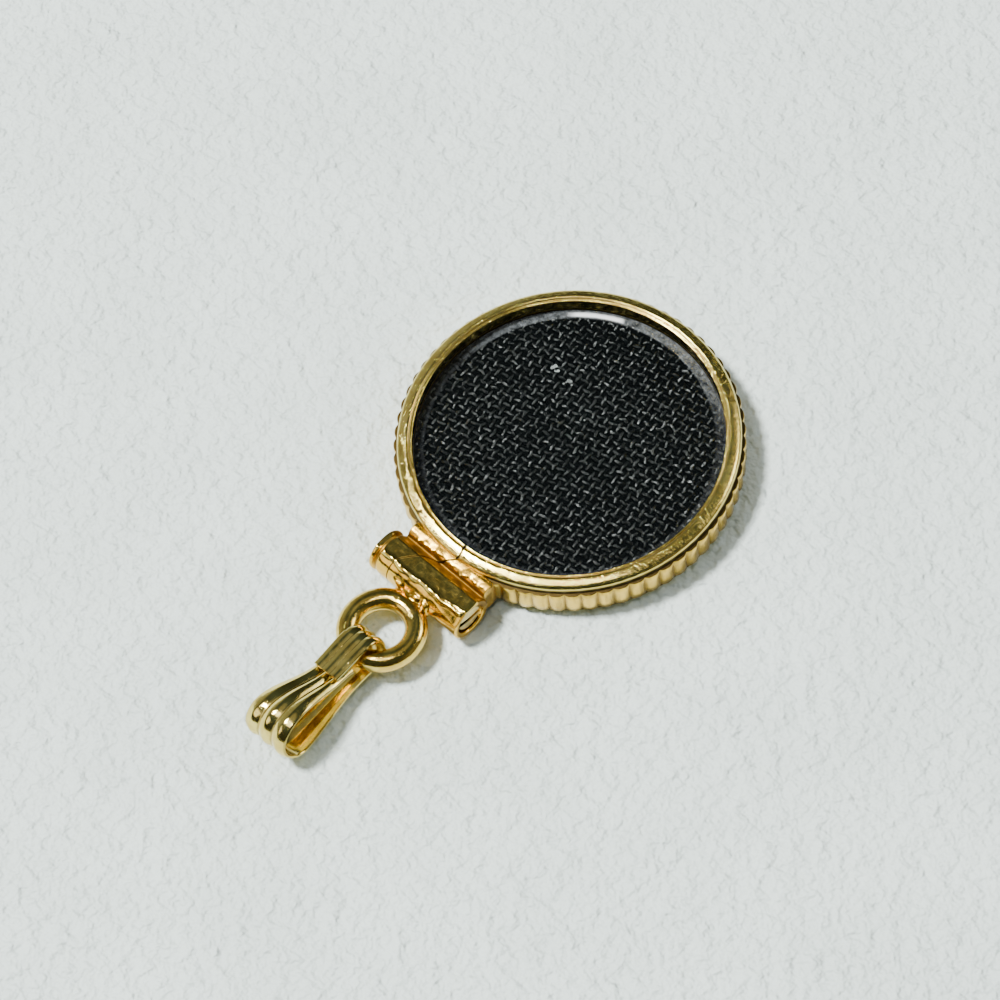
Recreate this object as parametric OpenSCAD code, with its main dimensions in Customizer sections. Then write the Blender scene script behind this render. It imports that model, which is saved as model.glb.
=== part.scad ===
// Round glazed pendant with a coin-edge bezel, a clamp screw and a folded bail.
// It lies on its back rim. +Z points out of the front crystal and the bail lies towards -Y.
// The origin is the middle of the back rim.

/* [Bezel] */
// Outside diameter over the reeds
bezel_d = 20; // [18:0.5:24]
// Height from the back rim to the front rim
bezel_t = 3; // [2.8:0.1:3.4]
// Number of rounded reeds round the edge
reed_count = 67; // [48:1:80]
// Depth of the grooves between the reeds
reed_depth = 0.18; // [0.1:0.02:0.2]
// Height of the reeded band
reed_h = 2.2; // [1.8:0.1:2.2]
// Width of the rim, from the sight edge to the foot of the reeds
rim_w = 1.13; // [1.1:0.01:1.3]
// Radius of the rounded crown of the rim
crown_r = 0.5; // [0.4:0.02:0.52]
// Radius of the small bead at the sight edge
bead_r = 0.08; // [0.06:0.01:0.1]
// Width of the slanted split in the ring and the barrel
split_w = 0.08; // [0.06:0.01:0.12]

/* [Crystals and cloth] */
// Depth of a crystal's face below the rim
crystal_recess = 1; // [0.9:0.05:1.05]
// Width of the bevel round a crystal
bevel_w = 0.5; // [0.3:0.05:0.7]
// Drop of the bevel
bevel_drop = 0.07; // [0.04:0.01:0.08]
// Thickness of a crystal at its edge
crystal_edge = 0.3; // [0.25:0.01:0.3]
// How far the crystals reach under the lips of the rim
crystal_hold = 0.23; // [0.15:0.01:0.25]
// Clearance between the stacked discs, and round them
disc_gap = 0.02; // [0.01:0.01:0.03]

/* [Barrel and screw] */
// Diameter of the barrel
barrel_d = 2.6; // [2.4:0.05:2.7]
// Length of the barrel
barrel_l = 6.8; // [6:0.1:7.2]
// Gap between the reeds and the barrel, bridged by the soldered lugs
barrel_gap = 0.3; // [0.2:0.05:0.5]
// Height of the flat filed along the top of the barrel, below its round top
barrel_flat = 0.12; // [0.05:0.01:0.2]
// Thickness of the turned disc at the left end of the barrel
end_disc_t = 0.3; // [0.2:0.05:0.4]
// Width and depth of the turned groove beside the end disc
end_groove = 0.16; // [0.1:0.02:0.2]
// Diameter of the screw head
head_d = 1.84; // [1.6:0.02:1.9]
// Depth of the screw head below the end of the barrel
head_recess = 0.22; // [0.1:0.02:0.3]
// Thickness of the screw head
head_t = 0.7; // [0.5:0.05:0.9]
// Diameter of the screw's shank
shank_d = 1.2; // [1:0.05:1.3]
// Width of the slot in the screw head
slot_w = 0.34; // [0.25:0.01:0.4]
// Turn of the slot from level
slot_turn = -8; // [-30:1:30]

/* [Jump ring] */
// Diameter of the ring's round wire
wire_d = 1.3; // [1.1:0.05:1.35]
// Diameter of the ring at the middle of its wire
ring_d = 3.85; // [3.8:0.05:4.1]
// Shift of the ring from the middle of the barrel
ring_shift = 0.1; // [0:0.05:0.3]

/* [Bail] */
// Length of the bail from the middle of its small eye to its far end
bail_reach = 7.4; // [6.8:0.1:8.5]
// Height of the loop that the chain goes through
bail_h = 3.1; // [2.8:0.1:3.4]
// Thickness of the strip that the bail is folded from
strip_t = 0.24; // [0.2:0.02:0.28]
// Width of the strip at its widest
bail_w = 3.3; // [2.8:0.1:3.8]
// Width of the tab at the narrow end of the strip
tab_w = 1.8; // [1.6:0.05:1.85]
// Distance of the tab's free end from the middle of the small eye
tab_reach = 2.45; // [2.2:0.05:2.8]
// Inner radius of the small eye, which turns on the jump ring
eye_r = 0.96; // [0.95:0.01:1.05]
// Height of the three ribs that run along the strip
rib_h = 0.08; // [0.05:0.01:0.1]
// Lean of the bail, which rests on the edge of its strip
bail_lean = 8; // [4:0.5:10]

/* [Hidden] */

gold = [0.83, 0.66, 0.30];
pale_gold = [0.88, 0.74, 0.42];
glass = [0.75, 0.82, 0.84, 0.35];
cloth = [0.07, 0.08, 0.08];

// Sharp edges between two shapes that are joined overlap by this much
sink = 0.05;
bezel_r = bezel_d / 2;
mid_z = bezel_t / 2;

// Rim: reeds, crown, bead and the lip that holds a crystal
groove_r = bezel_r - reed_depth;
band_r = groove_r - sink;
sight_r = bezel_r - rim_w;
crown_top = mid_z;
crown_mid_r = groove_r - 0.02 - crown_r * cos(15);
// The crown is worn to a narrow flat above this angle
land_angle = 80;
crown_mid_h = crown_top - crown_r * sin(land_angle);
bead_mid_r = sight_r + bead_r;
lip_foot = mid_z - crystal_recess - bevel_drop + disc_gap;
channel_r = sight_r + crystal_hold + disc_gap * 3;

// Crystals and cloth
crystal_r = sight_r + crystal_hold;
crystal_face = mid_z - crystal_recess;
crystal_edge_top = crystal_face - bevel_drop;
crystal_foot = crystal_edge_top - crystal_edge;
bevel_outer_r = sight_r - 0.27;
cloth_r = crystal_r - 0.1;

// Barrel
barrel_r = barrel_d / 2;
barrel_y = -(bezel_r + barrel_gap + barrel_r);
head_hole_d = head_d + 0.06;
shank_hole_d = shank_d + 0.06;
head_face_x = barrel_l / 2 - head_recess;
slot_depth = head_t * 0.45;
lug_left = -barrel_l / 2 + end_disc_t + end_groove + 0.25;
lug_right = barrel_l / 2 - 0.3;
lug_low = mid_z - 0.95;
lug_high = mid_z + 0.85;
lug_reach = bezel_r * 0.16 + barrel_r;
solder_r = wire_d * 0.48;
solder_reach = wire_d * 0.6;

// Slanted split, seen from above: from the sight edge to the front of the barrel
split_x = [0.42, 0.60, 0.72, 0.20, -0.35, -1.05, -1.75, -1.95, -1.95];
split_y = [-sight_r + 0.4, -sight_r - 0.4, -bezel_r + 0.35, -bezel_r - 0.05, -bezel_r - 0.4,
    -bezel_r - 1.0, -bezel_r - 1.5, -bezel_r - 2.0, barrel_y - barrel_r - 1];

// Jump ring, soldered to the front of the barrel
ring_r = ring_d / 2;
wire_r = wire_d / 2;
ring_y = barrel_y - barrel_r - ring_r - wire_r + 0.12;

// Cross section: ribs side by side on the outer side, plain on the inner side
rib_count = 3;
rib_points = 4;
outer_points = rib_count * rib_points;
section = concat(
    [for (k = [0:outer_points]) let (u = 2 * k / outer_points - 1)
        [u, 0.5, rib_h * abs(cos(90 * rib_count * u))]],
    [for (k = [0:rib_count]) [1 - 2 * k / rib_count, -0.5, 0]]);
section_n = len(section);

// Points of the section round the strip's thickness under one rib
function rib_cell(k) = concat(
    [for (j = [0:rib_points]) k * rib_points + j], [section_n - 2 - k, section_n - 1 - k]);
function turned(list) = [for (k = [len(list) - 1:-1:0]) list[k]];

// Bail: the small eye's middle is the axis that it turns on
eye_y = ring_y - ring_r + 0.22;
eye_mid_r = eye_r + strip_t / 2;
bend_r = (bail_h - strip_t) / 2;
bend_a = bail_reach - bail_h / 2;
// The strip's lowest outer point rests on the same plane as the back rim
lowest = min([for (p = section)
    p[0] * bail_w / 2 * sin(bail_lean) - (p[1] * strip_t + p[2]) * cos(bail_lean)]);
bottom_h = -(lowest + mid_z) / cos(bail_lean);
top_h = bottom_h + 2 * bend_r;
tab_h = eye_mid_r - 0.13;
fold_gap = 0.04;
leaf_h = tab_h - strip_t - rib_h - fold_gap;
leaf_slope = 0.25;
leaf_end_a = 1.25;
bail_steps = 14;

function mix(p, q, t) = p + (q - p) * t;
function ease(t) = t * t * (3 - 2 * t);
function bezier(p, q, r, s, t) =
    p * pow(1 - t, 3) + q * 3 * t * pow(1 - t, 2) + r * 3 * t * t * (1 - t) + s * pow(t, 3);
function arc(cx, cy, r, from, to, steps) =
    [for (i = [0:steps]) let (a = from + (to - from) * i / steps) [cx + r * cos(a), cy + r * sin(a)]];

// Middle line of the strip as [distance out from the eye, height above the eye's middle]
tab_line = [for (i = [0:3]) mix([tab_reach, tab_h], [0.35, eye_mid_r - 0.03], i / 4)];
eye_line = arc(0, 0, eye_mid_r, 90, 262, bail_steps);
bottom_line = [for (i = [1:bail_steps]) bezier([0, -eye_mid_r], [1.6, -eye_mid_r],
    [bend_a - 2.2, bottom_h - 0.02], [bend_a, bottom_h], i / bail_steps)];
bend_line = arc(bend_a, bottom_h + bend_r, bend_r, -90 + 180 / bail_steps, 90, bail_steps - 1);
top_line = [for (i = [1:bail_steps]) bezier([bend_a, top_h], [bend_a - 1.1, top_h],
    [tab_reach + 1.2, leaf_h + 1.2 * leaf_slope], [tab_reach, leaf_h], i / bail_steps)];
leaf_end_line = [for (i = [1:3]) [mix(tab_reach, leaf_end_a, i / 3),
    leaf_h - leaf_slope * (tab_reach - leaf_end_a) * i / 3]];
strip_line = concat(tab_line, eye_line, bottom_line, bend_line, top_line, leaf_end_line);
strip_last = len(strip_line) - 1;

// Half width of the strip at a distance from the eye
function half_width(a) =
    tab_w / 2 + (bail_w - tab_w) / 2 * ease(min(max((a - 0.9) / (bend_a + 0.4), 0), 1));

// Direction of the line at a station, and the outer side of the strip there
function heading(i) =
    let (d = strip_line[min(i + 1, strip_last)] - strip_line[max(i - 1, 0)]) d / norm(d);
function outer_side(i) = let (d = heading(i)) [d[1], -d[0]];

function strip_point(i, s) = let (
        p = strip_line[i],
        n = outer_side(i),
        off = section[s][1] * strip_t + section[s][2])
    [section[s][0] * half_width(p[0]), -(p[0] + n[0] * off), p[1] + n[1] * off];

// Half of the bezel's section above its middle plane, and the same below it
rim_half = concat(
    [[channel_r, 0], [channel_r, lip_foot], [sight_r, lip_foot], [sight_r, crown_top - 2 * bead_r]],
    arc(bead_mid_r, crown_top - bead_r * 1.8, bead_r, 180, 20, 5),
    arc(crown_mid_r, crown_mid_h, crown_r, 122, 180 - land_angle, 3),
    arc(crown_mid_r, crown_mid_h, crown_r, land_angle, 15, 7),
    [[band_r, reed_h / 2 - sink], [band_r, 0]]);

// Outline of the reeded band: rounded reeds that meet in sharp grooves
reed_arc_points = 5;
reed_outline = [for (i = [0:reed_count * reed_arc_points - 1]) let (
        a = 360 * i / (reed_count * reed_arc_points),
        u = 2 * (i % reed_arc_points) / reed_arc_points - 1,
        r = bezel_r - reed_depth * u * u)
    [r * cos(a), r * sin(a)]];

module reeded_band() {
    translate([0, 0, mid_z - reed_h / 2])
        difference() {
            linear_extrude(reed_h) polygon(reed_outline);
            translate([0, 0, -1]) cylinder(h = reed_h + 2, r = channel_r + 0.2, $fn = 180);
        }
}

module rim() {
    translate([0, 0, mid_z]) {
        rotate_extrude($fn = 180) polygon(rim_half);
        mirror([0, 0, 1]) rotate_extrude($fn = 180) polygon(rim_half);
    }
}

module along_barrel(from, to, d) {
    translate([from, barrel_y, mid_z]) rotate([0, 90, 0]) cylinder(h = to - from, d = d, $fn = 48);
}

// The barrel with its filed top and the turned disc at its left end
module barrel() {
    difference() {
        along_barrel(-barrel_l / 2, barrel_l / 2, barrel_d);
        translate([-barrel_l, barrel_y - barrel_d, mid_z + barrel_r - barrel_flat])
            cube([2 * barrel_l, 2 * barrel_d, 1]);
        difference() {
            along_barrel(-barrel_l / 2 + end_disc_t, -barrel_l / 2 + end_disc_t + end_groove,
                barrel_d + 1);
            along_barrel(-barrel_l / 2, 0, barrel_d - 2 * end_groove);
        }
    }
}

// Solder that joins the ring to the barrel
module lugs() {
    translate([lug_left, barrel_y, lug_low])
        cube([lug_right - lug_left, lug_reach, lug_high - lug_low]);
}

module jump_ring() {
    translate([ring_shift, ring_y, mid_z])
        rotate_extrude($fn = 72) translate([ring_r, 0]) circle(r = wire_r, $fn = 32);
    translate([ring_shift, barrel_y - barrel_r + 0.4, mid_z])
        rotate([90, 0, 0]) cylinder(h = solder_reach, r = solder_r, $fn = 32);
}

// One straight stretch of the split, cut through the whole height
module split_stretch(x1, y1, x2, y2) {
    length = norm([x2 - x1, y2 - y1]);
    translate([x1, y1, -1]) rotate([0, 0, atan2(y2 - y1, x2 - x1)])
        translate([-split_w / 2, -split_w / 2, 0]) cube([length + split_w, split_w, bezel_t + 2]);
}

module bezel_frame() {
    color(gold) difference() {
        union() {
            rim();
            reeded_band();
            barrel();
            difference() {
                lugs();
                translate([0, 0, -1]) cylinder(h = bezel_t + 2, r = band_r - 0.2, $fn = 180);
            }
            jump_ring();
        }
        along_barrel(-barrel_l, barrel_l, shank_hole_d);
        along_barrel(head_face_x - head_t - 0.03, barrel_l, head_hole_d);
        for (i = [0:len(split_x) - 2])
            split_stretch(split_x[i], split_y[i], split_x[i + 1], split_y[i + 1]);
    }
}

module clamp_screw() {
    color(pale_gold) difference() {
        union() {
            along_barrel(head_face_x - head_t, head_face_x, head_d);
            along_barrel(-barrel_l / 2 + 0.1, head_face_x - head_t + sink, shank_d);
        }
        translate([head_face_x, barrel_y, mid_z]) rotate([slot_turn, 0, 0])
            translate([-slot_depth, -head_d, -slot_w / 2]) cube([head_t, 2 * head_d, slot_w]);
    }
}

// A crystal above the middle plane: flat face, bevel and the edge that the lip holds
module crystal() {
    translate([0, 0, mid_z]) rotate_extrude($fn = 180) polygon([
        [0, crystal_foot], [crystal_r, crystal_foot], [crystal_r, crystal_edge_top],
        [bevel_outer_r, crystal_edge_top], [bevel_outer_r - bevel_w, crystal_face],
        [0, crystal_face]]);
}

module front_crystal() {
    color(glass) crystal();
}

module back_crystal() {
    color(glass) translate([0, 0, bezel_t]) mirror([0, 0, 1]) crystal();
}

module fabric_disc() {
    color(cloth) translate([0, 0, mid_z - crystal_foot + disc_gap])
        cylinder(h = 2 * (crystal_foot - disc_gap), r = cloth_r, $fn = 120);
}

module bail() {
    points = [for (i = [0:strip_last]) for (s = [0:section_n - 1]) strip_point(i, s)];
    sides = [for (i = [0:strip_last - 1]) for (s = [0:section_n - 1]) let (
            a = i * section_n + s,
            b = i * section_n + (s + 1) % section_n)
        each [[a, b + section_n, b], [a, a + section_n, b + section_n]]];
    first_end = [for (k = [0:rib_count - 1]) rib_cell(k)];
    last_end = [for (k = [0:rib_count - 1]) turned([for (s = rib_cell(k)) strip_last * section_n + s])];
    color(gold) translate([ring_shift, eye_y, mid_z]) rotate([0, -bail_lean, 0])
        polyhedron(points = points, faces = concat(first_end, sides, last_end), convexity = 6);
}

bezel_frame();
clamp_screw();
front_crystal();
fabric_disc();
back_crystal();
bail();
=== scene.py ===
import math
import random

import bmesh
import bpy
import numpy as np
from mathutils import Matrix, Vector, noise

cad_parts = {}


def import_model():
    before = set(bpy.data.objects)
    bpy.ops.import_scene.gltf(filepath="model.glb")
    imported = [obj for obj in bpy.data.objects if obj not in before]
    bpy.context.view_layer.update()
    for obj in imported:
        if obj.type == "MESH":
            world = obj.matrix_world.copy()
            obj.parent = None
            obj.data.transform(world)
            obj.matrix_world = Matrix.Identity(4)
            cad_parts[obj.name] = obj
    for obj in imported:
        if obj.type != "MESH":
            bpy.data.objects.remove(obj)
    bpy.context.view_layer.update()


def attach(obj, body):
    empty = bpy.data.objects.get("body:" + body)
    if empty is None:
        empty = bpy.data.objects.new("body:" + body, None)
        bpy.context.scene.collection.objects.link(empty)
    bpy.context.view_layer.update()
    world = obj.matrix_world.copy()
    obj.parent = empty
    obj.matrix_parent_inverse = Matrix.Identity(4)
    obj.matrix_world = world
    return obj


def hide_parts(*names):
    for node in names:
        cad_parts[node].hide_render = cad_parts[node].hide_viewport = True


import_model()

rng = random.Random(7)

# Sizes in millimetres, in the part's own frame; MM turns them into metres
MM = 0.001
MID_Z = 1.5
SIGHT_R = 8.87
BEZEL_R = 10.0
# The reeds' number, depth, least radius in a groove, and height of their top from the middle
REEDS = 67
REED_DEPTH = 0.16
REED_ROOT = 9.80
REED_TOP = 0.86
BARREL_Y = -11.6
BARREL_R = 1.3
BARREL_END = 3.4
RING_X = 0.1
RING_Y = -15.355
RING_R = 1.925
WIRE_R = 0.65
EYE_Y = -17.06
LEAN = math.radians(8)
CLOTH_TOP = 1.6

# The split in the rim, the solder and the barrel, seen from above: (x, y, width)
SPLIT = [
    (0.42, -8.50, 0.13), (0.55, -9.00, 0.12), (0.66, -9.35, 0.06), (0.70, -9.65, 0.05),
    (0.42, -9.95, 0.06), (0.02, -10.30, 0.07), (-0.36, -10.46, 0.07), (-0.74, -10.68, 0.07),
    (-1.06, -10.98, 0.06), (-1.40, -11.35, 0.04), (-1.72, -11.75, 0.035), (-1.90, -12.10, 0.03),
    (-2.00, -13.20, 0.03)]

# Points nearer than this, in metres, are made one, and edges sharper than this are shaded sharp
SAME_POINT = 1e-7
SHARP_EDGE = math.radians(50)


# Meshes

def new_mesh(name, points, faces, material):
    """A smooth-shaded mesh object from points in millimetres, with its faces turned outwards."""
    shape = bmesh.new()
    verts = [shape.verts.new(p) for p in (np.asarray(points, float) * MM).tolist()]
    for face in faces:
        shape.faces.new([verts[i] for i in face])
    bmesh.ops.remove_doubles(shape, verts=shape.verts, dist=SAME_POINT)
    bmesh.ops.recalc_face_normals(shape, faces=shape.faces)
    mesh = bpy.data.meshes.new(name)
    shape.to_mesh(mesh)
    shape.free()
    mesh.shade_smooth()
    mesh.set_sharp_from_angle(angle=SHARP_EDGE)
    mesh.materials.append(material)
    piece = bpy.data.objects.new(name, mesh)
    bpy.context.scene.collection.objects.link(piece)
    return piece


def apply_modifiers(piece):
    """Replace the piece's mesh with the result of its modifiers."""
    bpy.context.view_layer.update()
    graph = bpy.context.evaluated_depsgraph_get()
    result = bpy.data.meshes.new_from_object(piece.evaluated_get(graph))
    old = piece.data
    piece.modifiers.clear()
    piece.data = result
    result.name = old.name
    bpy.data.meshes.remove(old)


def cut(piece, cutter):
    """Take the cutter's shape out of the piece."""
    modifier = piece.modifiers.new("cut", "BOOLEAN")
    modifier.operation = "DIFFERENCE"
    modifier.solver = "MANIFOLD"
    modifier.object = cutter
    apply_modifiers(piece)


def grid_faces(rows, cols, wrap_rows=False):
    """Quads between rows of points; each row is a closed ring, and wrapped rows close up too."""
    faces = []
    for i in range(rows if wrap_rows else rows - 1):
        below = i * cols
        above = ((i + 1) % rows) * cols
        for j in range(cols):
            k = (j + 1) % cols
            faces.append((below + j, below + k, above + k, above + j))
    return faces


def tube_faces(rows, cols):
    """Quads between rings of points, with one flat face on each end."""
    last = (rows - 1) * cols
    return grid_faces(rows, cols) + [tuple(range(cols)), tuple(range(last, last + cols))]


def joined(shapes):
    """One list of points and one of faces from several (points, faces)."""
    points, faces, first = [], [], 0
    for shape_points, shape_faces in shapes:
        points.append(shape_points)
        faces += [tuple(i + first for i in face) for face in shape_faces]
        first += len(shape_points)
    return np.vstack(points), faces


def lathe(profile, segments, axis, closed=True):
    """A profile of (distance along the axis, radius) turned round it; an open one starts and ends on it."""
    profile = np.asarray(profile, float)
    angles = np.arange(segments) * 2 * math.pi / segments
    along = np.repeat(profile[None, :, 0], segments, 0)
    side = profile[None, :, 1] * np.cos(angles)[:, None]
    up = profile[None, :, 1] * np.sin(angles)[:, None]
    order = [along, side, up] if axis == "x" else [side, up, along]
    points = np.stack(order, -1).reshape(-1, 3)
    if closed:
        return points, grid_faces(segments, len(profile), True)
    # The points on the axis are one at each end
    n = len(profile)
    faces = []
    for i in range(segments):
        here, there = i * n, (i + 1) % segments * n
        faces.append((0, here + 1, there + 1))
        faces.append((n - 1, there + n - 2, here + n - 2))
        for j in range(1, n - 2):
            faces.append((here + j, here + j + 1, there + j + 1, there + j))
    return points, faces


def tube(path, radius, sides, flatten=1.0):
    """A tube with closed ends along a path; flatten squashes it in height."""
    path = np.asarray(path, float)
    along = np.gradient(path, axis=0)
    along /= np.linalg.norm(along, axis=1)[:, None]
    side = np.column_stack([-along[:, 1], along[:, 0], np.zeros(len(path))])
    side /= np.linalg.norm(side, axis=1)[:, None]
    up = np.cross(along, side)
    ring = np.arange(sides) * 2 * math.pi / sides
    points = (path[:, None, :] + side[:, None, :] * (radius * np.cos(ring))[None, :, None]
              + up[:, None, :] * (radius * flatten * np.sin(ring))[None, :, None])
    return points.reshape(-1, 3), tube_faces(len(path), sides)


def arc(cx, cy, r, start, end, steps):
    """Points along an arc, with angles in degrees."""
    angles = np.radians(np.linspace(start, end, steps + 1))
    return np.column_stack([cx + r * np.cos(angles), cy + r * np.sin(angles)])


def bezier(p, q, r, s, steps):
    t = np.linspace(0, 1, steps + 1)[:, None]
    p, q, r, s = (np.asarray(v, float) for v in (p, q, r, s))
    return p * (1 - t) ** 3 + q * 3 * t * (1 - t) ** 2 + r * 3 * t ** 2 * (1 - t) + s * t ** 3


def turned(first, second, angle):
    """Two coordinates turned by an angle in radians, from the first axis towards the second."""
    c, s = math.cos(angle), math.sin(angle)
    return c * first - s * second, s * first + c * second


def smooth_noise(points, scale, seed, octaves=2):
    """Fractal noise of about -1 to 1 at points in millimetres."""
    offset = Vector((seed * 13.7, seed * 7.3, seed * 3.1))
    return np.array([noise.fractal(Vector(p) / scale + offset, 1.0, 2.0, octaves) for p in points.tolist()])


def grains(points, scale, seed):
    """Domes of about 1 in the middle of scattered cells, 0 or less between them."""
    offset = Vector((seed * 11.1, seed * 5.9, seed * 2.3))
    far = np.array([noise.voronoi(Vector(p) / scale + offset)[0][0] for p in points.tolist()])
    return 1 - 2.2 * far ** 2


def ramp(values, low, high):
    """Smooth step from 0 at low to 1 at high."""
    t = np.clip((values - low) / (high - low), 0, 1)
    return t * t * (3 - 2 * t)


def ridge(values, middle, width):
    """1 at the middle, falling to 0 within about two widths."""
    return np.exp(-((values - middle) / width) ** 2)


def vertex_array(mesh, field="co"):
    """The mesh's points as they are stored, or its normals."""
    values = np.empty(len(mesh.vertices) * 3)
    mesh.vertices.foreach_get(field, values)
    return values.reshape(-1, 3)


def set_vertices(mesh, co):
    mesh.vertices.foreach_set("co", np.asarray(co).ravel())
    mesh.update()


def paint(piece, name, values):
    """Store a value from 0 to 1 at each point, for the material to read."""
    layer = piece.data.attributes.new(name, "FLOAT", "POINT")
    layer.data.foreach_set("value", np.clip(values, 0, 1))


def split_distance(co):
    """Distance from the split, seen from above, past its half width."""
    line = np.array(SPLIT)
    best = np.full(len(co), 1e9)
    for (ax, ay, aw), (bx, by, bw) in zip(line[:-1], line[1:]):
        ab = np.array([bx - ax, by - ay])
        t = np.clip(((co[:, 0] - ax) * ab[0] + (co[:, 1] - ay) * ab[1]) / (ab @ ab), 0, 1)
        far = np.hypot(co[:, 0] - ax - t * ab[0], co[:, 1] - ay - t * ab[1])
        best = np.minimum(best, far - (aw + (bw - aw) * t) / 2)
    return best


# Materials

def node_material(name):
    material = bpy.data.materials.new(name)
    material.use_nodes = True
    nodes = material.node_tree.nodes
    return material, nodes, material.node_tree.links, nodes["Principled BSDF"]


def object_mm(nodes, links, stretch=(1, 1, 1), turn=0.0):
    """Coordinates in millimetres in the piece's own space, turned about Z and then stretched."""
    coords = nodes.new("ShaderNodeTexCoord")
    mapping = nodes.new("ShaderNodeMapping")
    mapping.inputs["Rotation"].default_value = (0.0, 0.0, turn)
    mapping.inputs["Scale"].default_value = tuple(s / MM for s in stretch)
    links.new(coords.outputs["Object"], mapping.inputs["Vector"])
    return mapping.outputs["Vector"]


def noise_node(nodes, links, vector, scale, detail=4.0, rough=0.6):
    tex = nodes.new("ShaderNodeTexNoise")
    tex.inputs["Scale"].default_value = scale
    tex.inputs["Detail"].default_value = detail
    tex.inputs["Roughness"].default_value = rough
    links.new(vector, tex.inputs["Vector"])
    return tex.outputs["Fac"]


def ramp_node(nodes, links, value, stops):
    """stops are (place, colour) pairs."""
    tex = nodes.new("ShaderNodeValToRGB")
    tex.color_ramp.interpolation = "EASE"
    elements = tex.color_ramp.elements
    while len(elements) < len(stops):
        elements.new(0.5)
    for element, (place, colour) in zip(elements, stops):
        element.position = place
        element.color = (*colour, 1.0)
    links.new(value, tex.inputs["Fac"])
    return tex.outputs["Color"]


def attribute_node(nodes, name):
    attribute = nodes.new("ShaderNodeAttribute")
    attribute.attribute_name = name
    return attribute.outputs["Fac"]


# Places of a Mix node's sockets for colours, whose names its other sockets share
MIX_FIRST = 6
MIX_SECOND = 7
MIX_RESULT = 2


def mix_node(nodes, links, factor, first, second):
    """A mix of two colours; each is a socket or a constant."""
    mix = nodes.new("ShaderNodeMix")
    mix.data_type = "RGBA"
    links.new(factor, mix.inputs["Factor"])
    for place, value in ((MIX_FIRST, first), (MIX_SECOND, second)):
        if isinstance(value, tuple):
            mix.inputs[place].default_value = (*value, 1.0)
        else:
            links.new(value, mix.inputs[place])
    return mix.outputs[MIX_RESULT]


def grey(v):
    return (v, v, v)


def toned(colour, shares):
    return tuple(c * k for c, k in zip(colour, shares))


def bump_chain(nodes, links, heights):
    """heights are (height output, distance in millimetres, strength), laid over each other."""
    normal = None
    for height, distance, strength in heights:
        bump = nodes.new("ShaderNodeBump")
        bump.inputs["Distance"].default_value = distance * MM
        bump.inputs["Strength"].default_value = strength
        links.new(height, bump.inputs["Height"])
        if normal is not None:
            links.new(normal, bump.inputs["Normal"])
        normal = bump.outputs["Normal"]
    return normal


# The colour and roughness of dirt and of painted shade, and what turns a gold into its deeper and its warmer
# tone
GRIME_AND_SHADE = (0.030, 0.016, 0.006)
GRIME_AND_SHADE_ROUGH = 0.55
DEEPER = (0.86, 0.80, 0.70)
WARMER = (1.03, 0.84, 0.48)


def gold_material(name, colour, rough, scratch, grain, stain_and_shade=GRIME_AND_SHADE):
    """Worn gold with blotches, handling marks, a grain and scratches three ways.

    rough is the least and the most roughness. The stain colour shows where grime and painted shade are
    painted, and a warmer gold where warm is."""
    material, nodes, links, shader = node_material(name)
    mm = object_mm(nodes, links)
    shader.inputs["Metallic"].default_value = 1.0
    blotch = noise_node(nodes, links, mm, 1.1, 4.0)
    tint = ramp_node(nodes, links, blotch, [(0.38, toned(colour, DEEPER)), (0.62, colour)])
    tint = mix_node(nodes, links, attribute_node(nodes, "warm"), tint, toned(colour, WARMER))
    # The stain colour goes where grime is painted and where shade is painted into hollows
    grime_and_shade = attribute_node(nodes, "grime_and_shade")
    links.new(mix_node(nodes, links, grime_and_shade, tint, stain_and_shade), shader.inputs["Base Color"])
    marks = noise_node(nodes, links, mm, 2.6, 6.0, 0.7)
    worn = ramp_node(nodes, links, marks, [(0.35, grey(rough[0])), (0.68, grey(rough[1]))])
    links.new(mix_node(nodes, links, grime_and_shade, worn, grey(GRIME_AND_SHADE_ROUGH)), shader.inputs["Roughness"])
    # Each set of scratches is noise stretched along one direction: (turn, stretch)
    heights = []
    for turn, stretch in ((0.5, (1.4, 24.0, 7.0)), (2.4, (22.0, 2.0, 8.0)), (1.3, (2.0, 30.0, 9.0))):
        lines = noise_node(nodes, links, object_mm(nodes, links, stretch, turn), 1.0, 3.0, 0.55)
        fine = ramp_node(nodes, links, lines, [(0.32, grey(0.0)), (0.42, grey(1.0))])
        heights.append((fine, 0.006, scratch))
    heights.append((noise_node(nodes, links, mm, 7.0, 4.0, 0.65), 0.014, grain))
    links.new(bump_chain(nodes, links, heights), shader.inputs["Normal"])
    return material


# Below that of glass, so that the crystal veils the cloth as little as in the photograph
CRYSTAL_IOR = 1.36


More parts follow.
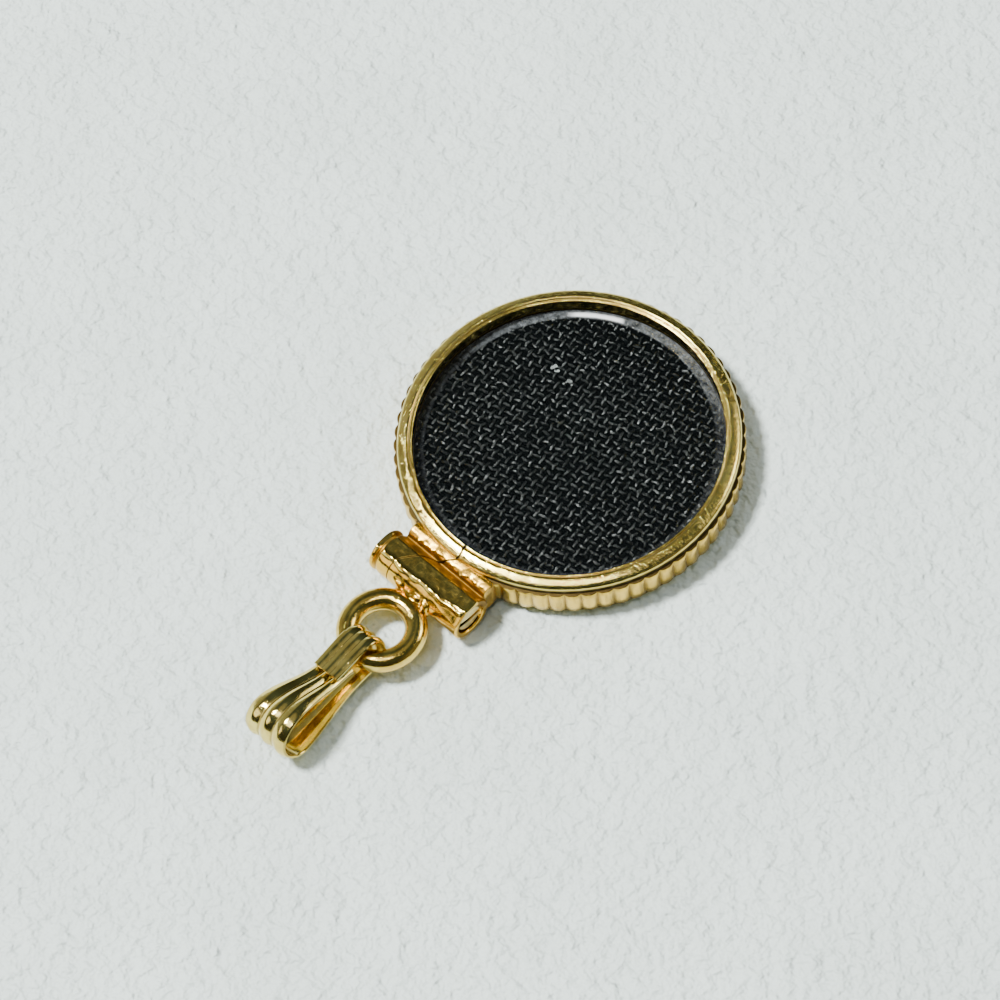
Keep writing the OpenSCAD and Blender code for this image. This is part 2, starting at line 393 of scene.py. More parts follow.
def glass_material(name):
    """Clear crystal, with a ground and dusty bevel and a painted white highlight where they are painted."""
    material, nodes, links, shader = node_material(name)
    shader.inputs["Base Color"].default_value = (0.93, 0.95, 0.95, 1.0)
    shader.inputs["IOR"].default_value = CRYSTAL_IOR
    shader.inputs["Transmission Weight"].default_value = 1.0
    mm = object_mm(nodes, links)
    dust = attribute_node(nodes, "dust")
    links.new(mix_node(nodes, links, dust, grey(0.02), grey(0.10)), shader.inputs["Roughness"])
    heights = [(noise_node(nodes, links, mm, 3.0, 5.0, 0.7), 0.002, 0.15)]
    links.new(bump_chain(nodes, links, heights), shader.inputs["Normal"])
    # Dust lies in patches on the bevel, and along one length a white highlight is painted
    painted_highlight = attribute_node(nodes, "painted_highlight")
    dust_and_highlight_film = nodes.new("ShaderNodeBsdfDiffuse")
    links.new(mix_node(nodes, links, painted_highlight, (0.15, 0.165, 0.175), (0.90, 0.93, 0.94)), dust_and_highlight_film.inputs["Color"])
    mottle = ramp_node(nodes, links, noise_node(nodes, links, mm, 2.6, 6.0, 0.75),
                       [(0.36, grey(0.12)), (0.64, grey(0.70))])
    patches = mix_node(nodes, links, painted_highlight, mottle, grey(0.95))
    amount = nodes.new("ShaderNodeMath")
    amount.operation = "MULTIPLY"
    links.new(dust, amount.inputs[0])
    links.new(patches, amount.inputs[1])
    dust_and_highlight_mix = nodes.new("ShaderNodeMixShader")
    links.new(amount.outputs["Value"], dust_and_highlight_mix.inputs["Fac"])
    links.new(shader.outputs["BSDF"], dust_and_highlight_mix.inputs[1])
    links.new(dust_and_highlight_film.outputs["BSDF"], dust_and_highlight_mix.inputs[2])
    # Light and reflections pass straight through, so that the cloth below is lit plainly
    path = nodes.new("ShaderNodeLightPath")
    clear = nodes.new("ShaderNodeBsdfTransparent")
    clear.inputs["Color"].default_value = (0.93, 0.95, 0.94, 1.0)
    mixed = nodes.new("ShaderNodeMixShader")
    links.new(path.outputs["Is Camera Ray"], mixed.inputs["Fac"])
    links.new(clear.outputs["BSDF"], mixed.inputs[1])
    links.new(dust_and_highlight_mix.outputs["Shader"], mixed.inputs[2])
    links.new(mixed.outputs["Shader"], nodes["Material Output"].inputs["Surface"])
    return material


def cloth_material(name, colour, rough, specular):
    """Twisted fibres, of which some shine; the colour is that of the darkest."""
    material, nodes, links, shader = node_material(name)
    mm = object_mm(nodes, links)
    tone = noise_node(nodes, links, mm, 1.6, 4.0, 0.7)
    lighter = toned(colour, grey(2.5))
    links.new(ramp_node(nodes, links, tone, [(0.35, colour), (0.75, lighter)]), shader.inputs["Base Color"])
    shader.inputs["Roughness"].default_value = rough
    shader.inputs["IOR"].default_value = 1.6
    shine = ramp_node(nodes, links, noise_node(nodes, links, mm, 3.4, 3.0, 0.7),
                      [(0.36, grey(0.35 * specular)), (0.60, grey(specular))])
    links.new(shine, shader.inputs["Specular IOR Level"])
    twist = noise_node(nodes, links, mm, 4.5, 1.0, 0.5)
    fibres = noise_node(nodes, links, mm, 16.0, 3.0, 0.6)
    links.new(bump_chain(nodes, links, [(twist, 0.11, 1.0), (fibres, 0.03, 0.8)]), shader.inputs["Normal"])
    return material


def floor_material(name):
    """A pale surface with the relief of leather."""
    material, nodes, links, shader = node_material(name)
    mm = object_mm(nodes, links)
    tone = noise_node(nodes, links, mm, 0.10, 5.0, 0.6)
    tint = ramp_node(nodes, links, tone, [(0.35, (0.70, 0.80, 0.765)), (0.65, (0.755, 0.86, 0.825))])
    links.new(tint, shader.inputs["Base Color"])
    shader.inputs["Roughness"].default_value = 0.7
    leather = noise_node(nodes, links, mm, 1.0, 1.0, 0.4)
    fine = noise_node(nodes, links, mm, 2.6, 1.0, 0.5)
    links.new(bump_chain(nodes, links, [(leather, 0.40, 1.0), (fine, 0.20, 1.0)]), shader.inputs["Normal"])
    return material


rim_gold = gold_material("rim_gold", (0.81, 0.63, 0.17), (0.07, 0.15), 0.42, 0.55)
solder_gold = gold_material("solder_gold", (0.82, 0.58, 0.13), (0.08, 0.16), 0.22, 0.12, (0.05, 0.022, 0.005))
# The screw's gold is paler than the others: painted light for its head, which faces shaded floor
screw_gold = gold_material("screw_gold", (0.84, 0.68, 0.32), (0.36, 0.50), 0.30, 0.25)
bail_gold = gold_material("bail_gold", (0.84, 0.66, 0.19), (0.06, 0.13), 0.16, 0.05)
crystal_glass = glass_material("crystal_glass")
black_yarn = cloth_material("black_yarn", (0.0005, 0.0008, 0.0008), 0.22, 0.8)
black_ground = cloth_material("black_ground", (0.0006, 0.0008, 0.0008), 0.9, 0.02)
pale_lint = cloth_material("pale_lint", (0.26, 0.27, 0.27), 0.5, 0.5)


# Bezel: the rim with its reeds, crown, bead and lips

def rim_profile():
    """Closed section of the rim: (radius, height from the middle, share of the reeds)."""
    half = [(9.16, 0.0, 0), (9.16, 0.45, 0), (8.90, 0.45, 0), (8.875, 0.47, 0), (SIGHT_R, 0.55, 0)]
    half += [(SIGHT_R, z, 0) for z in (0.8, 1.05, 1.25)]
    half += [(r, z, 0) for r, z in arc(8.95, 1.356, 0.08, 185, 25, 8)]
    half += [(9.040, 1.395, 0), (9.062, 1.410, 0)]
    # The crown falls gently outwards, then rounds off and drops to the reeds
    half += [(r, z, 0) for r, z in (
        (9.085, 1.455), (9.11, 1.480), (9.15, 1.496), (9.19, 1.500), (9.23, 1.498), (9.27, 1.490),
        (9.32, 1.475), (9.38, 1.456), (9.44, 1.435), (9.50, 1.412), (9.56, 1.387), (9.61, 1.361),
        (9.65, 1.334), (9.69, 1.302), (9.72, 1.27), (9.75, 1.22), (9.77, 1.15), (9.775, 1.07),
        (9.78, 0.95), (9.79, REED_TOP + 0.01))]
    # The reeds end in a flat ledge with a crisp edge
    half += [(9.815, REED_TOP + 0.005, 0), (9.88, REED_TOP + 0.002, 0.35), (9.94, REED_TOP, 0.7)]
    half += [(9.98, REED_TOP - 0.01, 0.93), (BEZEL_R, REED_TOP - 0.035, 1), (BEZEL_R, 0.4, 1)]
    upper = np.array(half)
    lower = upper[1:][::-1] * (1, -1, 1)
    return np.vstack([upper, [(BEZEL_R, 0.0, 1.0)], lower])


def bezel_rim():
    """The rim's section turned round, with a rounded lobe for each reed."""
    profile = rim_profile()
    per_reed = 14
    lobe_power = 2.2
    count = REEDS * per_reed
    angles = np.arange(count) * 2 * math.pi / count
    # Place within a reed, from -1 to 1, where it meets its neighbours in sharp grooves
    place = 2 * (np.arange(count) % per_reed) / per_reed - 1
    reed_no = np.arange(count) // per_reed
    depth_of = np.array([rng.uniform(0.85, 1.08) for _ in range(REEDS)])[reed_no]
    groove = REED_DEPTH * np.abs(place) ** lobe_power * depth_of
    radius = profile[None, :, 0] - groove[:, None] * profile[None, :, 2]
    radius = np.maximum(radius, np.where(profile[None, :, 2] > 0, REED_ROOT, 0))
    z = np.repeat(profile[None, :, 1] + MID_Z, count, 0)
    points = np.stack([radius * np.cos(angles)[:, None], radius * np.sin(angles)[:, None], z], -1)
    points = points.reshape(-1, 3)
    # Slight unevenness of hand-finished metal
    wobble = np.abs(smooth_noise(points, 1.3, 1.0) * 0.010 + smooth_noise(points, 0.35, 2.0) * 0.006)
    outward = points * (1, 1, 0) / np.hypot(points[:, 0], points[:, 1])[:, None]
    points = points - outward * wobble[:, None]
    points[:, 2] = MID_Z + (points[:, 2] - MID_Z) * (1 - wobble * 0.5)
    return new_mesh("bezel_rim", points, grid_faces(count, len(profile), True), rim_gold)


def soil_and_shade_rim(piece):
    """Painted shade at the crown's foot, in the grooves, beside the crystals and by the bead; grime in
    streaks and the split; warm reeds.
    """
    co = vertex_array(piece.data) / MM
    r = np.hypot(co[:, 0], co[:, 1])
    high = np.abs(co[:, 2] - MID_Z)
    mottle = 0.5 + 0.5 * smooth_noise(co, 0.5, 5.0)
    # Painted shade on the crown's foot and the ledge that the reeds end in
    foot = ramp(r, 9.745, 9.765) * ramp(-r, -9.995, -9.97) * ramp(high, REED_TOP - 0.05, REED_TOP - 0.02)
    foot *= ramp(-high, -1.2, -1.1)
    reeds = ramp(r, REED_ROOT, REED_ROOT + 0.02) * ramp(-high, -REED_TOP, 0.03 - REED_TOP)
    # Painted shade in the grooves between the reeds, mottled; the streaks below are grime
    grooves = ramp(-r, -9.95, -9.86) * reeds * (0.30 + 0.5 * mottle)
    streaks = 0.45 * ramp(smooth_noise(co * (1, 1, 0.15), 0.45, 6.0), 0.1, 0.6) * ramp(r, 9.84, 9.9)
    # Painted shade beside the crystal, and where the bead meets the crown
    seat = ramp(-r, -8.90, -8.88) * ramp(-high, -0.85, -0.55)
    bead = 0.55 * ridge(r, 9.052, 0.022) * ramp(high, 1.3, 1.36)
    crack = ramp(-split_distance(co), -0.05, -0.01)
    paint(piece, "grime_and_shade", np.max([0.95 * foot, grooves, streaks, 0.9 * seat, bead, crack], 0))
    paint(piece, "warm", reeds)


# Barrel, solder and jump ring, which are one soldered body

def barrel_shape():
    """The barrel along X, with its turned end disc, its groove and its stepped bore."""
    end = BARREL_END
    outer = [(-end, 1.24), (-end + 0.03, 1.285), (-end + 0.08, BARREL_R), (-end + 0.24, BARREL_R),
             (-end + 0.29, 1.27), (-end + 0.32, 1.16), (-end + 0.36, 1.10), (-end + 0.42, 1.10),
             (-end + 0.47, 1.17), (-end + 0.55, 1.27)]
    outer += [(x, 1.285) for x in np.linspace(-end + 0.7, end - 0.5, 40)]
    outer += [(end - 0.3, 1.29), (end - 0.12, 1.31), (end, 1.31)]
    bore = [(end, 0.97), (end - 0.03, 0.95), (end - 0.95, 0.95), (end - 0.95, 0.63), (-end, 0.63)]
    points, faces = lathe(outer + bore, 96, "x")
    return points + (0, BARREL_Y, MID_Z), faces


def torus_shape():
    """The jump ring."""
    sides, steps = 48, 144
    section = np.radians(np.arange(sides) * 360 / sides)
    turn = np.radians(np.arange(steps) * 360 / steps)
    r = RING_R + WIRE_R * np.cos(section)[None, :]
    points = np.stack([
        RING_X + r * np.cos(turn)[:, None],
        RING_Y + r * np.sin(turn)[:, None],
        np.repeat(MID_Z + WIRE_R * np.sin(section)[None, :], steps, 0)], -1)
    return points.reshape(-1, 3), grid_faces(steps, sides, True)


def ball_shape(centre, radii, turn):
    """A stretched ball, turned about Z."""
    angles = np.linspace(0, math.pi, 13)
    points, faces = lathe(np.column_stack([np.cos(angles), np.sin(angles)]), 20, "z", False)
    points = points * radii
    points[:, 0], points[:, 1] = turned(points[:, 0], points[:, 1], turn)
    return points + centre, faces


def lug_shape():
    """Solder from the reeds to the barrel: a block whose top falls from the rim to a valley."""
    stations_x = np.linspace(-2.75, 3.20, 30)
    # (y, top height, bottom height), from under the rim to inside the barrel
    section = [(-9.45, 2.50, 0.60), (-9.75, 2.56, 0.48), (-10.08, 2.50, 0.50), (-10.24, 2.36, 0.62),
               (-10.40, 2.02, 0.70), (-10.70, 1.88, 0.80), (-11.00, 1.93, 0.85), (-11.60, 2.00, 0.90)]
    clear_of_rim = -9.8
    points = []
    for x in stations_x:
        # The rows under the rim stay inside its metal
        metal = 0.1 - math.sqrt(9.72 ** 2 - x * x)
        rows = [(y if y < clear_of_rim else min(y, metal), top, bottom) for y, top, bottom in section]
        points += [(x, y, top) for y, top, _ in rows]
        points += [(x, y, bottom) for y, _, bottom in reversed(rows)]
    return np.array(points), tube_faces(len(stations_x), 2 * len(section))


def solder_lumps():
    """(middle, radii, turn) of the lumps of solder: those before the barrel, then a row along the rim."""
    row_y, row_z, row_end = -9.88, 2.45, 2.95
    lumps = [
        ((0.15, -12.95, 1.45), (1.05, 0.55, 0.62), 0.0),
        ((-0.75, -13.10, 1.30), (0.55, 0.45, 0.50), 0.4),
        ((0.95, -13.00, 1.50), (0.45, 0.45, 0.50), -0.4),
        ((0.95, -12.75, 1.95), (0.42, 0.28, 0.26), -0.6),
        ((0.35, -12.80, 2.02), (0.40, 0.24, 0.22), 0.2),
        ((1.60, -12.72, 1.75), (0.55, 0.25, 0.30), 0.1),
        ((-1.10, -12.72, 1.90), (0.60, 0.25, 0.28), -0.1),
    ]
    x = -2.5
    while x < row_end:
        lumps.append(((x, row_y + rng.uniform(-0.1, 0.1), row_z + rng.uniform(-0.04, 0.04)),
                      (rng.uniform(0.26, 0.44), rng.uniform(0.22, 0.36), rng.uniform(0.06, 0.09)),
                      rng.uniform(0, 3)))
        x += rng.uniform(0.24, 0.42)
    return lumps


# Where the filed top of the barrel meets its front in a wavy line, and how high that top is
RIDGE_Y = -12.13
FLAT_Z = 2.68


def filed(co, normal, point, where):
    """Cut points back to the plane through point that is square to normal."""
    normal = np.asarray(normal, float) / np.linalg.norm(normal)
    over = np.clip((co - point) @ normal, 0, None) * where
    return co - over[:, None] * normal


def soldered_body():
    """The barrel, its solder and the jump ring, grown together, filed on top and uneven."""
    shapes = [barrel_shape(), torus_shape(), lug_shape()] + [ball_shape(*lump) for lump in solder_lumps()]
    points, faces = joined(shapes)
    # Remeshed at a thousand times its size, which the modifier handles better
    piece = new_mesh("barrel_and_ring", points / MM, faces, solder_gold)
    remesh = piece.modifiers.new("skin", "REMESH")
    remesh.mode = "VOXEL"
    remesh.voxel_size = 0.0475
    settle = piece.modifiers.new("settle", "SMOOTH")
    settle.factor = 0.5
    settle.iterations = 9
    apply_modifiers(piece)
    mesh = piece.data
    co = vertex_array(mesh)
    from_axis = np.hypot(co[:, 1] - BARREL_Y, co[:, 2] - MID_Z)
    on_barrel = ramp(-co[:, 1], 10.6, 11.0) * ramp(co[:, 1], -13.3, -12.9) * ramp(-from_axis, -1.42, -1.32)
    # Filed flat along the top, with a facet at the screw's end
    wavy = 0.05 * np.sin(co[:, 0] * 2.3 + 0.6) + 0.03 * np.sin(co[:, 0] * 5.9)
    crest = RIDGE_Y + wavy
    co = filed(co, (0.0, 0.02, 1.0), (0, crest.mean(), FLAT_Z), on_barrel)
    right_end = on_barrel * ramp(co[:, 0], 1.3, 2.2)
    co = filed(co, (0.08, -0.62, 1.0), (2.5, -11.95, FLAT_Z), right_end)
    set_vertices(mesh, co)
    normals = vertex_array(mesh, "normal")
    # Where each region is, from 0 to 1
    x, y, z = co.T
    ring_part = ramp(-y, 13.2, 13.9)
    body_part = 1 - ring_part
    lug_part = ramp(y, -10.95, -10.45) * body_part
    valley = ridge(y, -10.75, 0.28) * ramp(z, 1.5, 1.8)
    end_disc = ramp(-x, 2.75, 2.9)
    screw_end = ramp(x, 3.1, 3.3)
    tube_part = body_part * (1 - lug_part) * (1 - end_disc) * (1 - screw_end)
    top = ramp(z, 2.50, 2.62) * ramp(y, crest - 0.02, crest + 0.08) * tube_part * (1 - ramp(x, 2.3, 2.8))
    front = ramp(crest - y, 0.02, 0.3) * ramp(z, 0.4, 1.0) * tube_part
    lower_left = ramp(-x, 0.9, 1.6) * ramp(-z, -2.0, -1.5)
    # Relief along the normals: the solder, its valley, the filed top, the front and the ring
    push = 0.004 * (grains(co, 0.28, 1.0) - 0.4) * lug_part * ramp(z, 1.95, 2.15) * (1 - valley)
    push += smooth_noise(co, 0.75, 3.0, 1) * 0.020 * lug_part
    push += smooth_noise(co, 0.8, 8.0, 1) * 0.02 * valley
    push += 0.002 * (grains(co, 0.24, 2.0) - 0.55) * top
    push += smooth_noise(co, 0.8, 4.0, 1) * 0.006 * top
    lumpy = smooth_noise(co, 1.0, 5.0, 1) * 0.035 + smooth_noise(co, 0.4, 6.0, 1) * 0.014
    push += lumpy * front * (1 - 0.85 * lower_left)
    push += smooth_noise(co, 0.7, 7.0, 1) * 0.012 * ring_part
    # The ridge is raised along the crest, upwards and a little forwards
    lift = 0.085 * ridge(y, crest - 0.02, 0.13) * ramp(z, 2.4, 2.55) * tube_part
    set_vertices(mesh, (co + normals * push[:, None] + np.outer(lift, (0.0, -0.35, 0.94))) * MM)
    return piece


def soil_and_shade_body(piece):
    """Painted shade in the solder's valley and the barrel's groove; grime in its pits, joints and the split;
    and warm solder.
    """
    co = vertex_array(piece.data) / MM
    x, y, z = co.T
    mottle = 0.5 + 0.5 * smooth_noise(co, 0.5, 5.0)
    # Painted shade, dark brown, over the valley between the solder strip and the barrel
    valley = ramp(-y, 10.18, 10.32) * ramp(y, -11.02, -10.86) * ramp(z, 1.2, 1.7) * (0.68 + 0.22 * mottle)
    barrel_top = ramp(z, 2.5, 2.62) * ramp(-y, 10.9, 11.0)
    top = barrel_top * ramp(y, -12.10, -11.95) * ramp(-x, -3.2, -3.0)
    pits = 0.10 * top * ramp(-grains(co, 0.24, 2.0), -0.8, 0.3) + 0.08 * top
    # The strip of solder along the rim is dull and brown
    strip = ramp(y, -10.35, -10.20) * ramp(z, 1.9, 2.2) * (0.20 + 0.32 * mottle)
    from_axis = np.hypot(y - BARREL_Y, z - MID_Z)
    # Painted shade in the groove beside the end disc
    groove = 0.6 * ridge(x, -BARREL_END + 0.38, 0.09) * ramp(from_axis, 0.7, 0.9)
    joint = 0.6 * ramp(y, -9.80, -9.66) * ramp(-z, -2.6, -2.4)
    neck = 0.35 * ridge(np.hypot(x - RING_X, y + 13.45), 0.75, 0.25) * mottle
    crack = ramp(-split_distance(co), -0.035, -0.005) * ramp(z, 0.2, 0.6)
    paint(piece, "grime_and_shade", np.max([valley, pits, strip, groove, joint, neck, crack], 0))
    paint(piece, "warm", ramp(y, -13.6, -12.9) * (1 - barrel_top))


def split_cutter():
    """A thin wall that follows the split, to cut with."""
    low, high = -0.5, 3.5
    line = np.array(SPLIT)
    along = np.gradient(line[:, :2], axis=0)
    along /= np.linalg.norm(along, axis=1)[:, None]
    side = np.column_stack([-along[:, 1], along[:, 0]]) * line[:, 2:] / 2
    points = []
    for middle, out in zip(line[:, :2], side):
        left, right = middle + out, middle - out
        points += [(*left, low), (*right, low), (*right, high), (*left, high)]
    return new_mesh("split_cutter", points, tube_faces(len(line), 4), rim_gold)


# Bail: a ribbed strip folded round the jump ring and into a loop

# The strip's thickness, how far the tab and the bend reach from the eye's middle, and the bend's height
STRIP_T = 0.24
TAB_OUT = 2.45
BEND_TIP = 7.4
BEND_H = 3.1


def bail_line():
    """Middle line of the strip: (distance out from the eye, height above the eye's middle), and its stages.

    A stage is 0 on the tab, 1 round the eye, 2 along the bottom, 3 round the bend and 4 along the top."""
    eye_r = 0.96 + STRIP_T / 2
    bend_r = (BEND_H - STRIP_T) / 2
    bend_a = BEND_TIP - BEND_H / 2
    bottom = -1.143
    tab_h = eye_r - 0.13
    leaf_h = tab_h - STRIP_T - 0.12
    top = bottom + 2 * bend_r
    runs = [
        bezier((TAB_OUT, tab_h), (1.8, tab_h), (0.9, eye_r), (0.0, eye_r), 24),
        arc(0, 0, eye_r, 90, 262, 40)[1:],
        bezier((-0.15, -eye_r), (1.4, -eye_r - 0.02), (bend_a - 2.2, bottom - 0.02),
               (bend_a, bottom), 40)[1:],
        arc(bend_a, bottom + bend_r, bend_r, -90, 90, 48)[1:],
        bezier((bend_a, top), (bend_a - 1.3, top), (3.6, leaf_h + 0.32), (TAB_OUT, leaf_h), 36)[1:],
        bezier((TAB_OUT, leaf_h), (2.1, leaf_h - 0.09), (1.6, leaf_h - 0.2),
               (1.3, leaf_h - 0.29), 10)[1:]]
    stages = np.concatenate([np.full(len(run), min(k, 4)) for k, run in enumerate(runs)])
    return np.vstack(runs), stages


def strip_section():
    """The strip's section: places across it, heights outside and inside, and places within a rib."""
    ribs = 3
    across = np.linspace(-1, 1, 61)
    place = (across * ribs / 2 + 0.5) % 1.0 * 2 - 1
    lobes = 1 - np.abs(place) ** 1.5
    edge = np.clip((1 - np.abs(across)) / 0.07, 0, 1)
    rounding = 1 - np.sqrt(1 - (1 - edge) ** 2 * 0.999)
    half_t = STRIP_T / 2
    outside = half_t - 0.09 + 0.175 * lobes - rounding * 0.04
    inside = -half_t + 0.05 * lobes + rounding * 0.09
    return across, outside, inside, place


def bail():
    """The strip's section carried along its line, wider towards the bend, and laid over by the lean."""
    line, stages = bail_line()
    step = np.gradient(line, axis=0)
    step /= np.linalg.norm(step, axis=1)[:, None]
    outer = np.column_stack([step[:, 1], -step[:, 0]])
    across, outside, inside, place = strip_section()
    section = np.vstack([np.column_stack([across, outside]), np.column_stack([across[::-1], inside[::-1]])])
    valley = ramp(np.abs(place), 0.80, 0.99)
    out = line[:, 0]
    half_w = 0.9 + 0.75 * ramp(out, 0.9, 7.15)
    # The tab narrows to its free end
    on_tab = stages == 0
    half_w[on_tab] = 0.95 - 0.03 * ramp(out[on_tab], 0.2, TAB_OUT)
    # The left side of the top droops, and the tab lies a little askew
    droop = np.where(stages == 4, 1.0, 0.0) + np.where(stages == 3, ramp(line[:, 1], -0.6, 1.6), 0.0)
    askew = np.where(on_tab, 0.05 * ramp(out, 0.3, TAB_OUT), 0.0)
    # The ribs are lower on the tab, and rise to their full height round the eye
    middle = np.repeat([STRIP_T / 2 + 0.02, 0.03 - STRIP_T / 2], len(across))
    tab_ribs = 0.4
    strength = np.where(on_tab, tab_ribs, 1.0)
    strength[stages == 1] = tab_ribs + (1 - tab_ribs) * ramp(line[stages == 1][:, 1], 0.6, -0.6)
    points, grime_and_shade = [], []
    for i in range(len(line)):
        thick = middle + (section[:, 1] - middle) * strength[i]
        p = line[i] + outer[i] * thick[:, None]
        x = section[:, 0] * half_w[i] + askew[i]
        drop = 0.34 * droop[i] * ramp(-section[:, 0], -0.3, 1.0) * ramp(out[i], 1.6, 4.5)
        points.append(np.column_stack([x, -p[:, 0], p[:, 1] - drop]))
        # Painted shade in the valleys between the ribs and on the inner face, most on the tab and round the
        # eye
        inner = 0.1 if stages[i] >= 2 else 0.3
        grime_and_shade.append(np.concatenate([0.5 * strength[i] * valley, np.full(len(across), inner)]))
    n = len(section)
    faces = grid_faces(len(line), n)
    for base in (0, (len(line) - 1) * n):
        for j in range(len(across) - 1):
            faces.append((base + j, base + n - 1 - j, base + n - 2 - j, base + j + 1))
    points = np.vstack(points)
    dents = smooth_noise(points, 0.9, 9.0, 1) * 0.006
    points[:, 2] += dents
    x, z = turned(points[:, 0], points[:, 2], LEAN)
    placed = np.column_stack([x + RING_X, points[:, 1] + EYE_Y, z + MID_Z])
    # No point goes below the surface that the bail lies on
    placed[:, 2] = np.maximum(placed[:, 2], 0.004)
    piece = new_mesh("ribbed_bail", placed, faces, bail_gold)
    paint(piece, "grime_and_shade", np.concatenate(grime_and_shade))
    return piece


# Screw with a slotted head

def clamp_screw():
    """A domed head and its shank along X, with a slot cut into the head."""
    face = BARREL_END - 0.16
    head_r, head_t, shank_r = 0.92, 0.7, 0.6
    far_end = 0.1 - BARREL_END
    slot_turn = math.radians(-8)
    profile = [(face + 0.06 - 0.09 * q * q, q) for q in (0.0, 0.15, 0.3, 0.45, 0.6, 0.75)]
    profile += [(face - 0.02, 0.84), (face - 0.07, 0.90), (face - 0.14, head_r), (face - head_t, head_r)]
    profile += [(face - head_t, shank_r), (far_end + 0.08, shank_r), (far_end + 0.02, 0.58)]
    profile += [(far_end, 0.5), (far_end, 0.0)]
    points, faces = lathe(profile, 72, "x", False)
    piece = new_mesh("slotted_screw", points + (0, BARREL_Y, MID_Z), faces, screw_gold)
    slot = np.array([(x, y, z) for x in (-0.34, 0.3) for y in (-1.2, 1.2) for z in (-0.14, 0.20)])
    slot[:, 1], slot[:, 2] = turned(slot[:, 1], slot[:, 2], slot_turn)
    faces = [(0, 1, 3, 2), (4, 6, 7, 5), (0, 4, 5, 1), (2, 3, 7, 6), (0, 2, 6, 4), (1, 5, 7, 3)]
    cutter = new_mesh("slot_cutter", slot + (face, BARREL_Y, MID_Z), faces, screw_gold)
    cut(piece, cutter)
    bpy.data.objects.remove(cutter)
    bevel = piece.modifiers.new("edges", "BEVEL")
    bevel.width = 0.025 * MM
    bevel.segments = 3
    bevel.angle_limit = math.radians(40)
    bevel.harden_normals = True
    apply_modifiers(piece)
    co = vertex_array(piece.data) / MM
    # Painted shade in the slot and on all that lies below the head's face
    paint(piece, "grime_and_shade", ramp(-co[:, 0], -face, 0.02 - face))
    return piece


# Crystals and the woven cloth between them

def crystal(name, side):
    """A flat crystal with a bevelled edge; side is 1 for the front one and -1 for the back one."""
    crystal_r = 9.10
    # Heights from the middle of the bezel
    top, edge_top, foot = 0.5, 0.45, 0.13
    profile = [(top, r) for r in (0.0, 3.0, 6.0, 8.0, 8.15, 8.25)]
    profile += [(top - 0.001, 8.28), (top - 0.004, 8.32)]
    profile += list(zip(np.linspace(top - 0.01, edge_top + 0.004, 7), np.linspace(8.38, 8.84, 7)))
    profile += [(edge_top, 8.88), (edge_top, 8.95), (edge_top, 9.09), (edge_top - 0.01, crystal_r)]
    profile += [(foot, r) for r in (crystal_r, 6.0, 3.0, 0.0)]
    points, faces = lathe([(MID_Z + side * a, r) for a, r in profile], 256, "z", False)
    piece = new_mesh(name, points, faces, crystal_glass)
    co = vertex_array(piece.data) / MM
    r = np.hypot(co[:, 0], co[:, 1])
    # The bevel is dustier on the far side, and a white highlight is painted along one length of the front
    away = ramp(co[:, 1] - 0.45 * co[:, 0], 3.0, 7.5)
    face = ramp(np.abs(co[:, 2] - MID_Z), 0.2, 0.3)
    around = np.degrees(np.arctan2(co[:, 1], co[:, 0]))
    painted_highlight = ramp(around, 111, 113) * ramp(-around, -136, -130) if side > 0 else 0 * around
    paint(piece, "dust", ramp(r, 8.26, 8.33) * face * (0.15 + 0.85 * away))
    paint(piece, "painted_highlight", painted_highlight * ramp(r, 8.36, 8.42) * ramp(-r, -8.72, -8.66) * face)
    return piece


# The cloth is a plain weave: yarns of two directions, each over one and under the next
WARP_DIRECTION = math.radians(10.3)
WEFT_DIRECTION = math.radians(99.3)
WARP_PITCH = 0.503
WEFT_PITCH = 0.417
YARN_R = 0.105
YARN_FLAT = 0.8
CLOTH_R = 9.0


def yarns(name, direction, pitch, cross_direction, cross_pitch, phase):
    """One set of yarns as tubes that wave over and under the other set, whose phase is the opposite."""
    along = np.array([math.cos(direction), math.sin(direction)])
    side = np.array([-along[1], along[0]])
    cross = np.array([-math.sin(cross_direction), math.cos(cross_direction)])
    wave = 0.085
    middle_z = CLOTH_TOP - 0.18
    rings_per_float = 5
    shapes = []
    count = int(CLOTH_R / pitch)
    for k in range(-count, count + 1):
        off = k * pitch
        reach = math.sqrt(max(CLOTH_R ** 2 - off * off, 0.3))
        stations = np.linspace(-reach, reach, int(2 * reach / cross_pitch * rings_per_float) + 2)
        # Where this yarn meets the other set, counted in its yarns
        meet = (stations * float(along @ cross) + float(side @ cross) * off) / cross_pitch
        flat = np.column_stack([stations[:, None] * along + off * side, np.zeros(len(stations))])
        sway = 0.11 * smooth_noise(flat, 0.30, 11.0 + phase) + rng.uniform(-0.02, 0.02)
        lift = 0.035 * smooth_noise(flat, 0.35, 13.0 + phase)
        path = flat + np.column_stack([sway[:, None] * side, np.zeros(len(stations))])
        path[:, 2] = middle_z + wave * np.cos(math.pi * (meet + k)) * phase + lift
        shapes.append(tube(path, YARN_R, 8, YARN_FLAT))
    points, faces = joined(shapes)
    return new_mesh(name, points, faces, black_yarn)


def cloth_ground():
    """The dark ground between the yarns."""
    top, bottom, r = CLOTH_TOP - 0.13, CLOTH_TOP - 0.20, 9.12
    profile = [(top, q) for q in (0.0, 3.0, 6.0, 8.9)] + [(top - 0.02, r), (bottom + 0.02, r)]
    profile += [(bottom, q) for q in (8.9, 6.0, 3.0, 0.0)]
    points, faces = lathe(profile, 160, "z", False)
    return new_mesh("cloth_ground", points, faces, black_ground)


